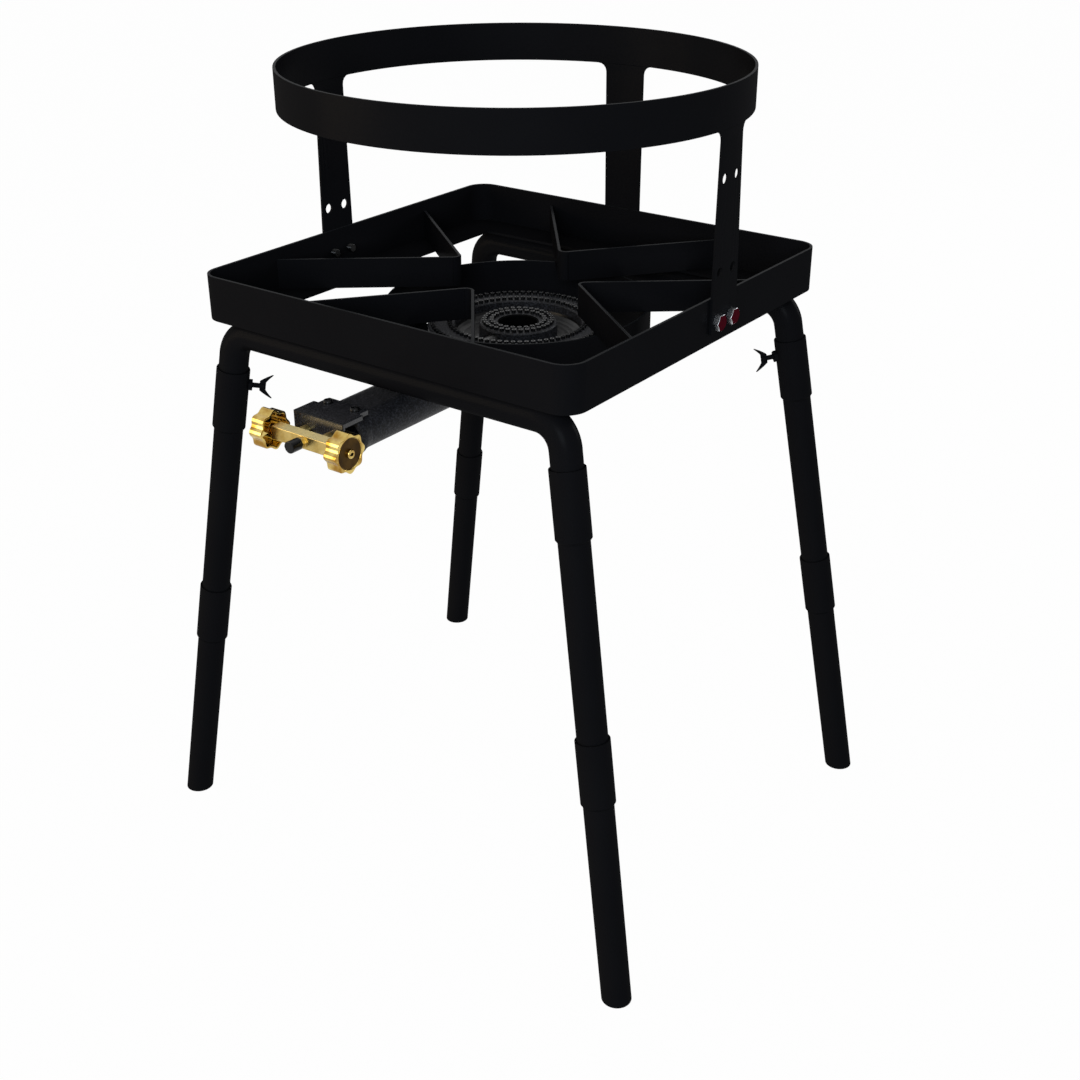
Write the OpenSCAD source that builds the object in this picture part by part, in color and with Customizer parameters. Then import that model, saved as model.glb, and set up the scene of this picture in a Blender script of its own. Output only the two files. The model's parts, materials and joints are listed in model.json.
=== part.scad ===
// Outdoor wok burner: square tray on four plug-in legs, cast double-ring burner, bolt-on wok ring.
// Millimetres, +Z up. The origin is on the floor, under the middle of the whole outline.

/* [Tray] */
// Outer width of the square tray
tray_w = 400; // [380:1:430]
// Height of the tray wall
tray_h = 40.5; // [36:0.5:46]
// Thickness of the tray's angle steel
tray_wall = 2.5; // [1.6:0.1:3.5]
// Width of the inward bottom flange, measured from the outer face
tray_flange = 38; // [30:1:44]
// Outer corner radius of the tray
tray_corner_r = 20; // [12:1:28]

/* [Pot supports] */
// Height of the support strip
support_h = 28; // [20:0.5:32]
// Thickness of the support strip
support_wall = 2.5; // [1.6:0.1:3.5]
// Distance of a support's tip from the middle of the tray
support_tip = 68; // [58:1:80]
// Inner radius of the bend at the tip
support_bend_r = 5; // [4:0.5:10]
// Distance of a support's ends from the middle of its wall
support_end = 105; // [90:1:120]

/* [Wok ring] */
// How much wider the wok ring is than the tray
ring_over = 8; // [4:1:14]
// Height of the ring strip
ring_h = 34.5; // [25:0.5:50]
// Thickness of the ring strip
ring_wall = 2.5; // [1.8:0.1:3.5]
// Clear height from the tray's rim to the ring
ring_lift = 138.5; // [125:0.5:160]
// Width of an upright
upright_w = 40; // [36:1:46]
// Distance of an upright's middle from the middle of its wall
upright_shift = 20; // [0:1:30]
// Reach of an upright below the tray's rim
upright_drop = 31; // [29:0.5:35]
// Fillet between an upright and the ring
upright_fillet = 8; // [4:1:12]
// Diameter of the adjusting holes
upright_hole_d = 9; // [8.6:0.1:10]
// Spacing of the two holes of a pair
hole_pitch = 22; // [19:0.5:24]
// Height of the lower free hole pair above the rim
hole_low = 20.8; // [15:0.1:40]
// Height of the upper free hole pair above the rim
hole_high = 98.8; // [80:0.1:110]
// Depth of the bolted hole pair below the rim
bolt_drop = 21.5; // [18:0.5:23]

/* [Ring bolts] */
// Diameter of a bolt
bolt_d = 8; // [6:0.5:8.4]
// Width across flats of a bolt head
bolt_head_w = 13; // [11:0.5:15]
// Height of a bolt head
bolt_head_h = 5.5; // [4:0.5:7]
// Bolt end that shows inside the tray wall
bolt_end = 5; // [2:0.5:8]

/* [Wind shield] */
// Outer diameter of the wind shield
shield_d = 242; // [226:1:256]
// Thickness of the wind shield
shield_wall = 2; // [1:0.1:2.5]

/* [Leg frame] */
// Outer diameter of the leg tube
leg_d = 26.6; // [24:0.2:27]
// Wall of the leg tube
leg_wall = 1.5; // [1.2:0.1:2.5]
// Distance of a cross tube's middle line from the tray's outer face
cross_inset = 19.3; // [16:0.1:28]
// Distance of a bend's start from the tray's outer face
bend_inset = 43.3; // [40:0.1:60]
// Bend radius of the cross tube at its middle line
bend_r = 26; // [22:0.5:30]
// Splay of the legs to the sides, in degrees
leg_splay = 9.5; // [6:0.5:12]
// Lean of each leg frame to the front or back, in degrees
leg_lean = 4; // [2:0.5:6]
// Straight stub below the bend
stub_len = 69; // [62:0.5:80]

/* [Legs] */
// Length of an upper leg
upper_leg_len = 288; // [240:1:320]
// Length of a lower leg
lower_leg_len = 251; // [200:1:300]
// Depth of the socket at the top of a leg
socket_depth = 55; // [45:1:60]
// Wall of the socket
socket_wall = 1.5; // [1.2:0.1:2.5]
// Full-width length of the socket below its inner shoulder
socket_land = 3; // [1:0.5:5]
// Length of the taper under the socket
socket_taper = 2.5; // [1.5:0.5:8]
// Distance of the wing bolt below the socket's mouth
wing_drop = 15; // [12:0.5:24]

/* [Wing bolts] */
// Thread diameter of a wing bolt
wing_bolt_d = 5; // [4:0.5:6]
// Width across flats of the clamp nut
clamp_nut_w = 10; // [9:0.5:13]
// Height of the clamp nut above the socket
clamp_nut_h = 3; // [2:0.5:5]
// Free shank between the clamp nut and the wings
wing_shank = 6; // [3:0.5:10]
// Diameter of the hub that carries the wings
wing_hub_d = 8; // [7:0.5:10]
// Length of the hub
wing_hub_len = 5.5; // [4:0.5:8]
// Spread of the two wing tips
wing_spread = 23; // [18:1:28]
// Reach of the wing tips past the hub
wing_reach = 7; // [4:0.5:10]
// Thickness of a wing
wing_wall = 2.6; // [2:0.1:4]

/* [Burner] */
// Depth of the burner's top below the tray's rim
burner_drop = 59; // [57:0.5:61]
// Outer diameter of the outer burner ring
burner_d = 166; // [160:1:172]
// Inner diameter of the outer burner ring
outer_ring_in_d = 117; // [113:1:120]
// Outer diameter of the inner burner ring
inner_ring_d = 72; // [69:0.5:75]
// Diameter of the middle hole
inner_hole_d = 35.6; // [32:0.2:37]
// Thickness of the port rings
port_ring_h = 8; // [6:0.5:9]
// Height of the casting under the port rings
casting_h = 21; // [19:0.5:23]
// Wall of the gas channels in the casting
channel_wall = 3; // [2.5:0.1:3.2]
// Depth of the gas channels
channel_depth = 12; // [8:0.5:13]
// Depth of the dish between the rings, below the port rings' seat
dish_depth = 8; // [5:0.5:10]
// Edge chamfer of the port rings
port_ring_chamfer = 1.2; // [0.8:0.1:1.6]
// Bore of a port
port_d = 2; // [1.6:0.1:2.4]
// Diameter of a port's nipple at its top
nipple_top_d = 4; // [3.6:0.1:4.4]
// Height of the port nipples above their ring
nipple_h = 2.8; // [1.5:0.1:4]
// How much wider a port's nipple is at its foot
nipple_draft = 0.5; // [0.2:0.1:0.8]
// Distance of the outer ring's port rows from its edges
outer_row_inset = 4.4; // [4.3:0.1:5.5]
// Distance of the inner ring's outer port row from its outer edge
inner_row_inset = 5; // [4.5:0.1:6]
// Distance of the inner ring's inner port row from the middle hole
hole_row_inset = 6.6; // [5:0.1:7]
// Spacing of the ports along a row
port_pitch = 5.9; // [5.4:0.1:8]
// Width of the bridge between the rings
bridge_w = 18; // [14:0.5:20]
// Depth of the bridge's top below the rings' top
bridge_drop = 3; // [2:0.5:5]

/* [Mixer] */
// Depth of the mixer tubes' axis below the tray's rim
mixer_drop = 84.4; // [84:0.1:86]
// Outer radius of a mixer tube
mixer_r = 15.3; // [14:0.1:15.5]
// Half distance between the two mixer tubes
mixer_half = 13; // [12.8:0.1:13.5]
// Distance of the mixer mouths before the tray's front face
mixer_reach = 45; // [40:0.5:48]
// Outer radius of the mouth lip
lip_r = 17.5; // [16.5:0.1:18.5]
// Length of the mouth lip
lip_len = 4; // [3:0.5:6]
// Length of the flare behind the lip
flare_len = 10; // [5:0.5:14]
// Inner radius of a mouth
mouth_r = 12.2; // [11.7:0.1:12.4]
// Inner radius of a mixer tube
mixer_bore_r = 11; // [9:0.5:11.5]
// Length of the funnel in a mouth
funnel_len = 14; // [8:1:20]
// Outer radius of the feed tube to the inner ring
feed_r = 8.5; // [8:0.1:8.6]
// Inner radius of the feed tube
feed_bore_r = 4.5; // [3.5:0.1:4.6]
// Depth of the feed tube's axis below the mixer tubes' axis
feed_sink = 6; // [5:0.1:6]
// Wall at the end of the feed tube
feed_wall = 1.5; // [1.2:0.1:1.6]

/* [Mouth cover] */
// Width of the cover
cover_w = 54; // [50:1:60]
// Width of the cover's tab under the screws
cover_tab_w = 44; // [42:1:48]
// Length of the cover's tab
cover_tab = 12; // [8:0.5:13]
// Depth of the cover's flat seat in the mixer tubes
cover_seat = 0.5; // [0.3:0.1:0.8]
// Thickness of the cover's top
cover_t = 4.8; // [3.5:0.1:5.5]
// Thickness of the cover's front plate
front_t = 3; // [2:0.1:4]
// Distance of the cover's front face before the mixer mouths
cover_ahead = 20; // [17:0.5:23]
// Reach of the cover's top plate behind the mixer mouths
cover_behind = 16; // [14:0.5:21]
// Reach of the front plate below the mixer tubes' axis
front_reach = 9.6; // [8:0.1:14]
// Distance of the cover screws behind the mixer mouths
cover_screw_back = 7.4; // [5:0.1:9]
// Half spacing of the cover screws
cover_screw_half = 14.7; // [12:0.1:18]
// Head diameter of a cover screw
cover_screw_head_d = 8.5; // [7:0.5:9]
// Head height of a cover screw
cover_screw_head_h = 2.6; // [2:0.1:4]
// Shank diameter of a cover screw
cover_screw_d = 4; // [3:0.5:5]
// Reach of a cover screw into the casting
cover_screw_reach = 2; // [1:0.1:2.2]

/* [Valve] */
// Width of the square valve bar
valve_w = 11; // [10:0.5:12]
// Length of the valve bar
valve_len = 67; // [60:1:70]
// Gap between the cover's front plate and the valve bar
valve_gap = 9; // [6:0.5:11]
// Height of the valve's axis above the mixer tubes' axis
valve_rise = 5; // [3:0.5:6]
// Diameter of a valve spindle
spindle_d = 5; // [4:0.5:6]
// Width across flats of a gland nut
gland_w = 10; // [9:0.5:11]
// Height of a gland nut
gland_h = 4; // [3:0.5:5]
// Diameter of the bosses that hold the bar off the plate
boss_d = 10; // [9:0.5:11]
// Diameter of the jet spigots
spigot_d = 7; // [6:0.5:8]
// Reach of a spigot into its jet
spigot_reach = 4; // [3:0.5:5]
// Width across flats of a jet
jet_w = 10; // [9.5:0.5:12]
// Length of a jet's hexagon
jet_hex_len = 7; // [6:0.5:9]
// Length of a jet
jet_len = 16; // [12:0.5:18]
// Diameter of a jet's tip
jet_tip_d = 5; // [4:0.5:6]
// Bore of a jet
jet_bore_d = 1.2; // [0.8:0.1:2]
// Width across flats of the inlet nut
inlet_w = 9; // [8:0.5:10.5]
// Length of the inlet nut
inlet_nut_len = 3; // [2:0.5:5]
// Diameter of the inlet nipple
nipple_d = 6.4; // [6:0.2:7]
// Length of the inlet nipple past its nut
nipple_len = 9; // [6:0.5:11]
// Gas bore of the valve
gas_bore_d = 3; // [2:0.5:3.5]
// Wall of the inlet cap
cap_wall = 1.6; // [1:0.1:2.5]

/* [Knobs] */
// Diameter of a knob over its lobes
knob_d = 34; // [30:0.5:36]
// Number of lobes
knob_lobes = 8; // [6:1:10]
// Depth of the hollows between the lobes
lobe_depth = 1.7; // [1:0.1:2.2]
// Depth of a knob
knob_depth = 13; // [12:0.5:16]
// Wall of a knob
knob_wall = 2; // [1.5:0.1:2.5]
// Thickness of a knob's end disc
knob_disc_t = 3; // [2.5:0.5:4]
// Diameter of the shallow recess in the end disc
knob_recess_d = 26; // [20:0.5:26]
// Depth of that recess
knob_recess_h = 0.6; // [0.4:0.1:1]
// Diameter of a knob screw's head
knob_screw_head_d = 6; // [5:0.5:8]
// Height of a knob screw's head
knob_screw_head_h = 2; // [1.5:0.1:3]
// Shank diameter of a knob screw
knob_screw_d = 3; // [2:0.5:3]
// Reach of a knob screw into the spindle
knob_screw_reach = 5; // [4:0.5:6]

/* [Burner strap] */
// Width of the strap under the burner
strap_w = 20; // [16:1:26]
// Thickness of the strap
strap_t = 3; // [2:0.5:4]
// Half spacing of the strap bolts
strap_bolt_half = 46; // [44:0.5:48]
// Diameter of a strap bolt
strap_bolt_d = 8; // [6:0.5:8]
// Reach of a strap bolt into the casting
strap_bolt_reach = 8; // [6:0.5:9]

/* [Hidden] */
// Gap of a leg socket round the tube inside it
socket_gap = 0.3;
// Gap between an end and the shoulder that it stands on
seat_gap = 0.3;
// Radial gap of a turning fit
turn_gap = 0.08;
// Gap of a screwed, welded or pushed fit between fixed pieces
fixed_gap = 0.05;
// Gap between the tip of a wing bolt and the tube
tip_gap = 0.3;
// Gap between a knob's rim and the valve bar's end
knob_gap = 0.5;
// Gap between the inlet cap and the nipple
cap_gap = 0.3;
// Gap between the bridge and the port rings
bridge_gap = 0.3;
// Gap of the mixer tubes in the shield's notch
notch_gap = 1.5;
// Overrun of cuts
over = 1;
// How far a straight length runs into the bend that it joins
lap = 0.5;
// Inset of an upright's root inside the ring strip, and its depth there
root_inset = 0.3;
root_depth = 2;
// How far the flare's thin end dips under the mixer tube's surface
flare_dip = 0.4;
// Round sides
$fn = 64;
fine_fn = 128;
port_fn = 16;
// Columns and fillet steps of an upright's loft
loft_cols = 8;
fillet_steps = 4;
// Steps of the dish's curve
dish_steps = 6;
// Points on a knob's outline for each lobe
lobe_points = 12;

tray_half = tray_w / 2;
ring_d = tray_w + ring_over;
cross_y = tray_half - cross_inset;
cross_half = tray_half - bend_inset;
flange_z = tray_wall - tray_h;
leg_r = leg_d / 2;
socket_in_r = leg_r + socket_gap;
socket_out_r = socket_in_r + socket_wall;
cross_z = -tray_h - leg_r;
bend_end_x = cross_half + bend_r * cos(leg_splay);
bend_end_z = bend_r * sin(leg_splay) - bend_r;
upper_top = stub_len + seat_gap - socket_depth;
lower_top = upper_top + upper_leg_len + seat_gap - socket_depth;
foot_s = lower_top + lower_leg_len;
// Height of the tray's rim above the floor
rim_z = foot_s * cos(leg_splay) * cos(leg_lean) - cross_z - bend_end_z * cos(leg_lean);

burner_r = burner_d / 2;
outer_in_r = outer_ring_in_d / 2;
inner_r = inner_ring_d / 2;
hole_r = inner_hole_d / 2;
lid_z = -burner_drop - port_ring_h;
casting_z = lid_z - casting_h;
shield_h = flange_z - casting_z;
shield_r = shield_d / 2;
shield_in_r = shield_r - shield_wall;
strap_z = casting_z - strap_t;
mixer_front = tray_half + mixer_reach;
mixer_top = mixer_r - mixer_drop;
cover_front = mixer_front + cover_ahead;
cover_back = mixer_front - cover_behind;
cover_screw_y = mixer_front - cover_screw_back;
seat_z = mixer_top - cover_seat;
cover_top = seat_z + cover_t;
valve_y = cover_front + valve_gap + valve_w / 2;
valve_drop = mixer_drop - valve_rise;
valve_half = valve_len / 2;
knob_r = knob_d / 2;
knob_start = valve_half + knob_gap;
knob_end = knob_start + knob_depth;
knob_face = knob_end - knob_recess_h;
spindle_in = mixer_half + gas_bore_d;
spindle_end = knob_end - knob_disc_t;
nut_end = valve_w / 2 + inlet_nut_len;
feed_z = -mixer_drop - feed_sink;
feed_end = feed_bore_r + feed_wall;
// Middle of the inner gas channel, where the feed tube turns up
feed_up_r = (hole_r + inner_r) / 2;
feed_up_y = -sqrt(feed_up_r * feed_up_r - mixer_half * mixer_half);

// Reach of the outline to the front and to the back, and the shift that centres it
reach_front = valve_y + nut_end + cap_gap + nipple_len + cap_wall;
reach_back = cross_y + (cross_z + rim_z) * tan(leg_lean) + leg_r / cos(leg_lean);
mid_y = (reach_front - reach_back) / 2;

LEGS = [[-1, -1], [1, -1], [1, 1], [-1, 1]];

black_coat = "#1b1c20";
iron_black = "#2a2a2b";
brass = "#d8ad45";
zinc = "#c3c6ca";
black_plastic = "#141414";

// Moves what is drawn about the middle of the tray's rim into the floor's frame
module lift() {
  translate([0, mid_y, rim_z]) children();
}

// Square with round corners, centred
module round_square(w, r) {
  square([w - 2 * r, w], center = true);
  square([w, w - 2 * r], center = true);
  for (a = [-1, 1], b = [-1, 1])
    translate([a * (w / 2 - r), b * (w / 2 - r)]) circle(r);
}

// Hexagon prism by its width across flats
module hex(w, h) {
  cylinder(r = w / 2 / cos(30), h = h, $fn = 6);
}

// Tube along +Z
module tube(r, wall, h) {
  difference() {
    cylinder(r = r, h = h);
    translate([0, 0, -over]) cylinder(r = r - wall, h = h + 2 * over);
  }
}

// Draws on the right as it is and on the left as its mirror image
module both_sides() {
  children();
  mirror([1, 0, 0]) children();
}

// Places of the two bolted uprights: right and left wall; the one at the back only stands behind its wall
module at_bolted() {
  for (turn = [0, 180]) rotate([0, 0, turn]) translate([0, upright_shift, 0]) children();
}

// Two round holes side by side at one height, along +X
module hole_pair(d, z, from, len) {
  for (s = [-1, 1])
    translate([from, s * hole_pitch / 2, z]) rotate([0, 90, 0]) cylinder(d = d, h = len);
}

module tray_frame() color(black_coat) lift() difference() {
  translate([0, 0, -tray_h]) union() {
    linear_extrude(tray_h) difference() {
      round_square(tray_w, tray_corner_r);
      round_square(tray_w - 2 * tray_wall, tray_corner_r - tray_wall);
    }
    linear_extrude(tray_wall) difference() {
      round_square(tray_w, tray_corner_r);
      square(tray_w - 2 * tray_flange, center = true);
    }
  }
  at_bolted()
    hole_pair(bolt_d + 2 * fixed_gap, -bolt_drop, tray_half - tray_wall - over, tray_wall + 2 * over);
}

// One strip folded to a V, drawn for the front wall; the arms start a little inside the bend
module support_strip() {
  out_r = support_bend_r + support_wall;
  mid_r = support_bend_r + support_wall / 2;
  bend_y = support_tip + out_r;
  wall_y = tray_half - tray_wall;
  run = wall_y - bend_y;
  reach = sqrt(support_end * support_end + run * run);
  arm_turn = acos(mid_r / reach) - atan2(run, support_end);
  translate([0, -bend_y, flange_z]) difference() {
    union() {
      rotate([0, 0, arm_turn]) rotate_extrude(angle = 180 - 2 * arm_turn)
        translate([support_bend_r - fixed_gap, 0]) square([support_wall + 2 * fixed_gap, support_h]);
      both_sides() rotate([0, 0, arm_turn]) translate([support_bend_r, -reach - out_r, 0])
        cube([support_wall, reach + out_r + lap, support_h]);
    }
    translate([-tray_w, -tray_w - run, -over]) cube([2 * tray_w, tray_w, support_h + 2 * over]);
  }
}

module support(turn) color(black_coat) lift() rotate([0, 0, turn]) support_strip();
module support_front() support(0);
module support_right() support(90);
module support_back() support(180);
module support_left() support(270);

module wind_shield() color(black_coat) lift() difference() {
  notch_w = 2 * (mixer_half + mixer_r + notch_gap);
  translate([0, 0, casting_z]) cylinder(r = shield_r, h = shield_h, $fn = fine_fn);
  translate([0, 0, casting_z - over]) cylinder(r = shield_in_r, h = shield_h + 2 * over, $fn = fine_fn);
  translate([-notch_w / 2, -shield_r - over, casting_z - over])
    cube([notch_w, shield_r, mixer_top + notch_gap - casting_z + over]);
}

// Levels of an upright's loft: height and half width, flaring out into the fillet at the ring
upright_levels = concat(
  [[0, upright_w / 2]],
  [for (k = [0 : fillet_steps]) let (a = 90 * k / fillet_steps)
    [ring_lift - upright_fillet * (1 - sin(a)), upright_w / 2 + upright_fillet * (1 - cos(a))]],
  [[ring_lift + root_depth, upright_w / 2 + upright_fillet]]
);

// Across an upright the strip bends from the flat wall to the ring's arc
function upright_x(y, blend, flat_x, arc_r) = (1 - blend) * flat_x + blend * sqrt(arc_r * arc_r - y * y);
function upright_row(z, half, flat_x, arc_r) = [for (j = [0 : loft_cols])
  let (y = upright_shift + half * (2 * j / loft_cols - 1), blend = min(1, z / ring_lift))
  [upright_x(y, blend, flat_x, arc_r), y, z]];

// Closed sheet between an inner and an outer grid of points, both with rows of the same length
module sheet(inner, outer) {
  n = len(inner[0]);
  rows = len(inner);
  half = n * rows;
  grid = [for (i = [0 : rows - 2], j = [0 : n - 2]) [i * n + j, i * n + j + 1, i * n + n + j + 1, i * n + n + j]];
  ends = [for (j = [0 : n - 2]) each [[j, j + 1, 0], [half - n + j + 1, half - n + j, 0]]];
  edges = [for (i = [0 : rows - 2]) each
    [[i * n + n, i * n, 0], [i * n + n - 1, i * n + 2 * n - 1, 0]]];
  in_faces = [for (q = grid) each [[q[0], q[1], q[2]], [q[0], q[2], q[3]]]];
  out_faces = [for (q = grid) each [[half + q[0], half + q[2], half + q[1]], [half + q[0], half + q[3], half + q[2]]]];
  rims = [for (e = concat(ends, edges)) each
    [[e[0], half + e[0], half + e[1]], [e[0], half + e[1], e[1]]]];
  points = concat([for (r = inner) each r], [for (r = outer) each r]);
  polyhedron(points, concat(in_faces, out_faces, rims));
}

module wok_ring() color(black_coat) lift() difference() {
  arc_in = ring_d / 2 - ring_wall + root_inset;
  arc_out = ring_d / 2 - root_inset;
  union() {
    translate([0, 0, ring_lift]) difference() {
      cylinder(d = ring_d, h = ring_h, $fn = fine_fn);
      translate([0, 0, -over]) cylinder(d = ring_d - 2 * ring_wall, h = ring_h + 2 * over, $fn = fine_fn);
    }
    for (turn = [0, 90, 180]) rotate([0, 0, turn]) {
      sheet(
        [for (l = upright_levels) upright_row(l[0], l[1], tray_half, arc_in)],
        [for (l = upright_levels) upright_row(l[0], l[1], tray_half + ring_wall, arc_out)]
      );
      translate([tray_half, upright_shift - upright_w / 2, -upright_drop])
        cube([ring_wall, upright_w, upright_drop]);
    }
  }
  at_bolted() for (z = [-bolt_drop, hole_low, hole_high])
    hole_pair(upright_hole_d, z, tray_half - upright_w / 2, upright_w);
}

module ring_bolts() color(zinc) lift() {
  shank = ring_wall + tray_wall + bolt_end;
  at_bolted() for (s = [-1, 1])
    translate([tray_half + ring_wall, s * hole_pitch / 2, -bolt_drop]) rotate([0, 90, 0]) {
      hex(bolt_head_w, bolt_head_h);
      translate([0, 0, -shank]) cylinder(d = bolt_d, h = shank);
    }
}

// Bent tube in its own plane: cross tube, two bends, two stubs that start inside the bends
module leg_frame(side) color(black_coat) lift()
  translate([0, side * cross_y, cross_z]) rotate([side * leg_lean, 0, 0]) {
    translate([-cross_half - lap, 0, 0]) rotate([0, 90, 0]) tube(leg_r, leg_wall, 2 * (cross_half + lap));
    both_sides() {
      translate([cross_half, 0, -bend_r]) rotate([90, 0, 0])
        rotate([0, 0, leg_splay]) rotate_extrude(angle = 90 - leg_splay) translate([bend_r, 0]) difference() {
          circle(leg_r + fixed_gap);
          circle(leg_r - leg_wall - fixed_gap);
        }
      translate([bend_end_x, 0, bend_end_z]) rotate([0, -leg_splay, 0])
        translate([0, 0, -stub_len]) tube(leg_r, leg_wall, stub_len + lap);
    }
  }
module leg_frame_front() leg_frame(-1);
module leg_frame_back() leg_frame(1);

// Frame of one leg: origin at the end of the bend, -Z down the leg
module at_leg(leg) {
  lift() translate([0, leg[1] * cross_y, cross_z]) rotate([leg[1] * leg_lean, 0, 0])
    translate([leg[0] * bend_end_x, 0, bend_end_z]) rotate([0, -leg[0] * leg_splay, 0]) children();
}

// Frame of one wing bolt: origin on the leg's axis, +Z towards the middle of the tray
module at_wing(leg) {
  at_leg(leg) translate([0, 0, -upper_top - wing_drop])
    rotate([0, 0, atan2(-leg[1], -leg[0])]) rotate([0, 90, 0]) children();
}

// Tube with a swaged socket at its top, top at z = 0
module socket_tube(len) {
  shoulder = socket_depth + socket_land;
  bore_r = leg_r - leg_wall;
  rotate_extrude() polygon([
    [socket_in_r, 0], [socket_out_r, 0], [socket_out_r, -shoulder], [leg_r, -shoulder - socket_taper],
    [leg_r, -len], [bore_r, -len], [bore_r, -socket_depth], [socket_in_r, -socket_depth]
  ]);
}

module upper_leg(leg) color(black_coat) difference() {
  at_leg(leg) translate([0, 0, -upper_top]) socket_tube(upper_leg_len);
  at_wing(leg) cylinder(d = wing_bolt_d + 2 * turn_gap, h = socket_out_r + over);
}
module upper_leg_fl() upper_leg(LEGS[0]);
module upper_leg_fr() upper_leg(LEGS[1]);
module upper_leg_br() upper_leg(LEGS[2]);
module upper_leg_bl() upper_leg(LEGS[3]);

// The foot is cut off level with the floor
module lower_leg(leg) color(black_coat) difference() {
  at_leg(leg) translate([0, 0, -lower_top]) socket_tube(lower_leg_len + leg_r);
  translate([-tray_w, -tray_w, -leg_d]) cube([2 * tray_w, 2 * tray_w, leg_d]);
}
module lower_leg_fl() lower_leg(LEGS[0]);
module lower_leg_fr() lower_leg(LEGS[1]);
module lower_leg_br() lower_leg(LEGS[2]);
module lower_leg_bl() lower_leg(LEGS[3]);

module clamp_nut(leg) color(black_coat) at_wing(leg) difference() {
  hex(clamp_nut_w, socket_out_r + clamp_nut_h);
  rotate([0, 90, 0]) translate([0, 0, -clamp_nut_w]) cylinder(r = socket_out_r + fixed_gap, h = 2 * clamp_nut_w);
  cylinder(d = wing_bolt_d + 2 * turn_gap, h = socket_out_r + clamp_nut_h + over);
}
module clamp_nut_fl() clamp_nut(LEGS[0]);
module clamp_nut_fr() clamp_nut(LEGS[1]);
module clamp_nut_br() clamp_nut(LEGS[2]);
module clamp_nut_bl() clamp_nut(LEGS[3]);

// Shank from the tube out through the clamp nut, tapered hub, two raked wings with round tips
module wing_bolt(leg) color(black_coat) at_wing(leg) {
  start = leg_r + tip_gap;
  hub = socket_out_r + clamp_nut_h + wing_shank;
  tip_r = wing_wall;
  tip_x = wing_spread / 2 - tip_r;
  tip_y = wing_hub_len + wing_reach - tip_r;
  translate([0, 0, start]) cylinder(d = wing_bolt_d, h = hub - start);
  translate([0, 0, hub]) cylinder(d1 = wing_bolt_d, d2 = wing_hub_d, h = wing_hub_len);
  both_sides() translate([0, wing_wall / 2, hub]) rotate([90, 0, 0]) linear_extrude(wing_wall) {
    lean = atan2(tip_y, tip_x);
    polygon([
      [0, wing_hub_len / 2], [wing_bolt_d / 2, wing_wall / 2],
      [tip_x + tip_r * sin(lean), tip_y - tip_r * cos(lean)],
      [tip_x - tip_r * sin(lean), tip_y + tip_r * cos(lean)], [0, wing_hub_len]
    ]);
    translate([tip_x, tip_y]) circle(tip_r);
  }
}
module wing_bolt_fl() wing_bolt(LEGS[0]);
module wing_bolt_fr() wing_bolt(LEGS[1]);
module wing_bolt_br() wing_bolt(LEGS[2]);
module wing_bolt_bl() wing_bolt(LEGS[3]);

// Twin mixer outline across its axis: two round tubes with a flat web between
module mixer_outline(r) {
  for (s = [-1, 1]) translate([s * mixer_half, 0]) circle(r);
  translate([-mixer_half, -r]) square([2 * mixer_half, 2 * r]);
}

// Frame of the mixer tubes: origin in the mouth plane, +Z towards the burner
module at_mixer() {
  translate([0, -mixer_front, -mixer_drop]) rotate([-90, 0, 0]) children();
}

// Round body of the casting with the dish between the seats of the port rings
module casting_body() {
  dish_w = outer_in_r - inner_r;
  dish = [for (k = [0 : dish_steps]) let (a = 90 * k / dish_steps)
    [inner_r + dish_w * cos(a), lid_z - dish_depth * sin(a)]];
  rotate_extrude($fn = fine_fn) polygon(concat(
    [[hole_r, casting_z], [burner_r - channel_wall, casting_z], [burner_r, casting_z + channel_wall], [burner_r, lid_z]],
    dish,
    [[inner_r, lid_z], [hole_r, lid_z]]
  ));
}

// Ring-shaped gas channels under the port rings
module gas_channels() {
  floor_z = lid_z - channel_depth;
  rotate_extrude($fn = fine_fn) {
    translate([outer_in_r + channel_wall, floor_z])
      square([burner_r - outer_in_r - 2 * channel_wall, channel_depth + over]);
    translate([hole_r + channel_wall, floor_z])
      square([inner_r - hole_r - 2 * channel_wall, channel_depth + over]);
  }
}

// Rounded bridge over the dish, between the port rings
module ring_bridge() {
  top_r = bridge_w / 2;
  axis_z = -burner_drop - bridge_drop - top_r;
  floor_z = lid_z - channel_depth;
  intersection() {
    difference() {
      translate([0, 0, floor_z]) cylinder(r = outer_in_r - bridge_gap, h = -floor_z);
      translate([0, 0, floor_z - over]) cylinder(r = inner_r + bridge_gap, h = 2 * over - floor_z);
    }
    union() {
      translate([0, 0, axis_z]) rotate([90, 0, 0]) cylinder(r = top_r, h = burner_r);
      translate([-top_r, -burner_r, floor_z - over]) cube([bridge_w, burner_r, axis_z - floor_z + over]);
    }
  }
}

// Twin tubes with flared mouths, and the feed tube under the casting to the inner ring
module mixer_arm() {
  at_mixer() {
    linear_extrude(mixer_front - outer_in_r) mixer_outline(mixer_r);
    linear_extrude(lip_len) mixer_outline(lip_r);
    for (s = [-1, 1]) translate([s * mixer_half, 0, lip_len / 2])
      cylinder(r1 = lip_r - fixed_gap, r2 = mixer_r - flare_dip, h = lip_len / 2 + flare_len);
  }
  translate([-mixer_half, feed_up_y + feed_end, feed_z]) rotate([90, 0, 0])
    cylinder(r = feed_r, h = burner_r + feed_up_y + feed_end);
}

// Inside of one mixer tube, from its funnel mouth to its end
module mixer_bore(len) {
  rotate_extrude() polygon([
    [0, -over], [mouth_r, -over], [mouth_r, lip_len], [mixer_bore_r, lip_len + funnel_len], [mixer_bore_r, len], [0, len]
  ]);
}

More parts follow.
